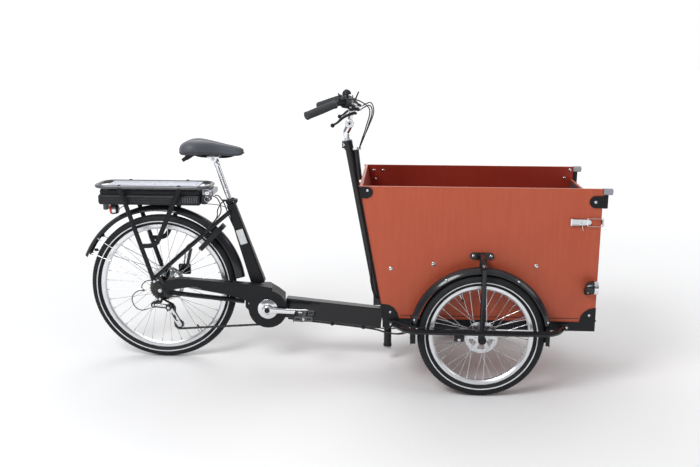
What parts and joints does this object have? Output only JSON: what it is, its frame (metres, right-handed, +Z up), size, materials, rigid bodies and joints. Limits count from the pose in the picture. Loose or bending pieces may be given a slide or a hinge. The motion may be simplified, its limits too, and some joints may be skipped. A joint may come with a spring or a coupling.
{
  "type": "cargo bicycle",
  "caption": "Electric cargo bicycle with a plywood load box and folding front ramp between two steered front wheels, and a carrier with a sliding battery over the rear wheel.",
  "frame": {"origin": "on the ground, under the middle of the bounding box", "axes": "+X forward, +Y to the rider's left, +Z up"},
  "size_m": [2.2334, 0.88, 1.2113],
  "materials": {
    "frame_black": "gloss",
    "tyre": "matte",
    "rim": "satin",
    "steel": "satin",
    "chain": "satin",
    "plywood": "lacquered",
    "black_plastic": "matte",
    "rubber": "matte",
    "saddle": "satin",
    "plate": "satin",
    "lamp": "gloss",
    "chrome": "polished",
    "alloy": "polished"
  },
  "bodies": {
    "main_frame": {"main_beam": "frame_black", "head_tube": "frame_black", "motor_housing": "black_plastic", "seat_tube": "frame_black", "seat_collar": "black_plastic", "stays_right": "frame_black", "stays_left": "frame_black", "chain_guard": "frame_black", "rear_mudguard": "black_plastic", "carrier_frame": "frame_black", "carrier_plate": "plate", "tail_lamp": "lamp", "ring_lock": "black_plastic", "derailleur": "black_plastic", "chain": "chain", "beam_cables": "rubber"},
    "seat_group": {"seat_post": "steel", "saddle_rails": "black_plastic", "saddle": "saddle"},
    "seat_lever": {"seat_lever": "steel"},
    "battery": {"battery": "black_plastic"},
    "rear_wheel": {"rear_tyre": "tyre", "rear_wheel": "rim"},
    "cassette": {"cassette": "chain"},
    "crankset": {"crankset": "alloy"},
    "pedal_right": {"pedal_right": "black_plastic"},
    "pedal_left": {"pedal_left": "black_plastic"},
    "front_frame": {"front_chassis": "frame_black", "king_pin": "steel", "box_floor": "plywood", "side_panel_right": "plywood", "side_panel_left": "plywood", "rear_panel": "plywood", "wheel_guard_right": "frame_black", "wheel_guard_left": "frame_black", "front_mudguard_right": "black_plastic", "front_mudguard_left": "black_plastic", "front_bracket_right": "black_plastic", "front_bracket_left": "black_plastic", "headlamp_right": "black_plastic", "headlamp_left": "black_plastic", "steering_post": "frame_black"},
    "front_wheel_right": {"front_tyre_right": "tyre", "front_wheel_right": "rim"},
    "front_wheel_left": {"front_tyre_left": "tyre", "front_wheel_left": "rim"},
    "front_door": {"front_door": "plywood"},
    "bench": {"bench_seat": "plywood"},
    "latch_lever_right": {"latch_lever_right": "steel"},
    "latch_loop_right": {"latch_loop_right": "steel"},
    "latch_lever_left": {"latch_lever_left": "steel"},
    "latch_loop_left": {"latch_loop_left": "steel"},
    "handlebar": {"stem": "chrome", "handlebar": "black_plastic", "grip_right": "rubber", "grip_left": "rubber", "steering_cables": "rubber"},
    "brake_lever_right": {"brake_lever_right": "black_plastic"},
    "brake_lever_left": {"brake_lever_left": "black_plastic"},
    "shifter": {"shifter_lever": "black_plastic"}
  },
  "joints": [
    {"name": "steering", "type": "hinge", "parent": "main_frame", "child": "front_frame", "pos_m": [0.2372, 0, 0.16], "axis": [0, 0, 1], "range_deg": [-38, 38]},
    {"name": "rear_wheel_spin", "type": "hinge", "parent": "main_frame", "child": "rear_wheel", "pos_m": [-0.7718, 0, 0.33], "axis": [0, 1, 0], "continuous": true},
    {"name": "crank_turn", "type": "hinge", "parent": "main_frame", "child": "crankset", "pos_m": [-0.2918, 0, 0.2555], "axis": [0, 1, 0], "continuous": true},
    {"name": "cassette_turn", "type": "hinge", "parent": "main_frame", "child": "cassette", "pos_m": [-0.7718, 0, 0.33], "axis": [0, 1, 0], "continuous": true},
    {"name": "pedal_right_spin", "type": "hinge", "parent": "crankset", "child": "pedal_right", "pos_m": [-0.1219, -0.153, 0.24957], "axis": [0, 1, 0], "continuous": true},
    {"name": "pedal_left_spin", "type": "hinge", "parent": "crankset", "child": "pedal_left", "pos_m": [-0.4617, 0.153, 0.26143], "axis": [0, 1, 0], "continuous": true},
    {"name": "saddle_height", "type": "slide", "parent": "main_frame", "child": "seat_group", "axis": [-0.309, 0, 0.9511], "range_m": [-0.06, 0.12]},
    {"name": "seat_lever_open", "type": "hinge", "parent": "main_frame", "child": "seat_lever", "pos_m": [-0.4338, -0.0265, 0.727], "axis": [0, 0, 1], "range_deg": [0, 120]},
    {"name": "battery_out", "type": "slide", "parent": "main_frame", "child": "battery", "axis": [-1, 0, 0], "range_m": [0, 0.46]},
    {"name": "front_wheel_right_spin", "type": "hinge", "parent": "front_frame", "child": "front_wheel_right", "pos_m": [0.6152, -0.37, 0.256], "axis": [0, 1, 0], "continuous": true},
    {"name": "front_wheel_left_spin", "type": "hinge", "parent": "front_frame", "child": "front_wheel_left", "pos_m": [0.6152, 0.37, 0.256], "axis": [0, 1, 0], "continuous": true},
    {"name": "door_fold", "type": "hinge", "parent": "front_frame", "child": "front_door", "pos_m": [1.0842, 0, 0.3], "axis": [0, 1, 0], "range_deg": [0, 118]},
    {"name": "bench_fold", "type": "hinge", "parent": "front_frame", "child": "bench", "pos_m": [0.2142, 0, 0.53], "axis": [0, -1, 0], "range_deg": [0, 85]},
    {"name": "bar_height", "type": "slide", "parent": "front_frame", "child": "handlebar", "axis": [-0.19, 0, 0.9818], "range_m": [0, 0.05]},
    {"name": "brake_pull_right", "type": "hinge", "parent": "handlebar", "child": "brake_lever_right", "pos_m": [0.0902, -0.124, 1.122], "axis": [-0.6332, 0.7298, -0.2579], "range_deg": [0, 16], "stiffness_Nm_per_rad": 1.2},
    {"name": "brake_pull_left", "type": "hinge", "parent": "handlebar", "child": "brake_lever_left", "pos_m": [0.0902, 0.124, 1.122], "axis": [0.6332, 0.7298, 0.2579], "range_deg": [0, 16], "stiffness_Nm_per_rad": 1.2},
    {"name": "shift_push", "type": "hinge", "parent": "handlebar", "child": "shifter", "pos_m": [0.0402, -0.156, 1.184], "axis": [0, 1, 0], "range_deg": [-25, 10], "stiffness_Nm_per_rad": 0.2},
    {"name": "latch_open_right", "type": "hinge", "parent": "front_frame", "child": "latch_lever_right", "pos_m": [0.9612, -0.3185, 0.715], "axis": [0, 0, -1], "range_deg": [0, 110]},
    {"name": "latch_loop_swing_right", "type": "hinge", "parent": "latch_lever_right", "child": "latch_loop_right", "pos_m": [1.0242, -0.3185, 0.715], "axis": [0, 0, -1], "range_deg": [0, 60]},
    {"name": "latch_open_left", "type": "hinge", "parent": "front_frame", "child": "latch_lever_left", "pos_m": [0.9612, 0.3185, 0.715], "axis": [0, 0, 1], "range_deg": [0, 110]},
    {"name": "latch_loop_swing_left", "type": "hinge", "parent": "latch_lever_left", "child": "latch_loop_left", "pos_m": [1.0242, 0.3185, 0.715], "axis": [0, 0, 1], "range_deg": [0, 60]}
  ],
  "couplings": [
    {"joint": "cassette_turn", "follows": "crank_turn", "ratio": 2}
  ]
}
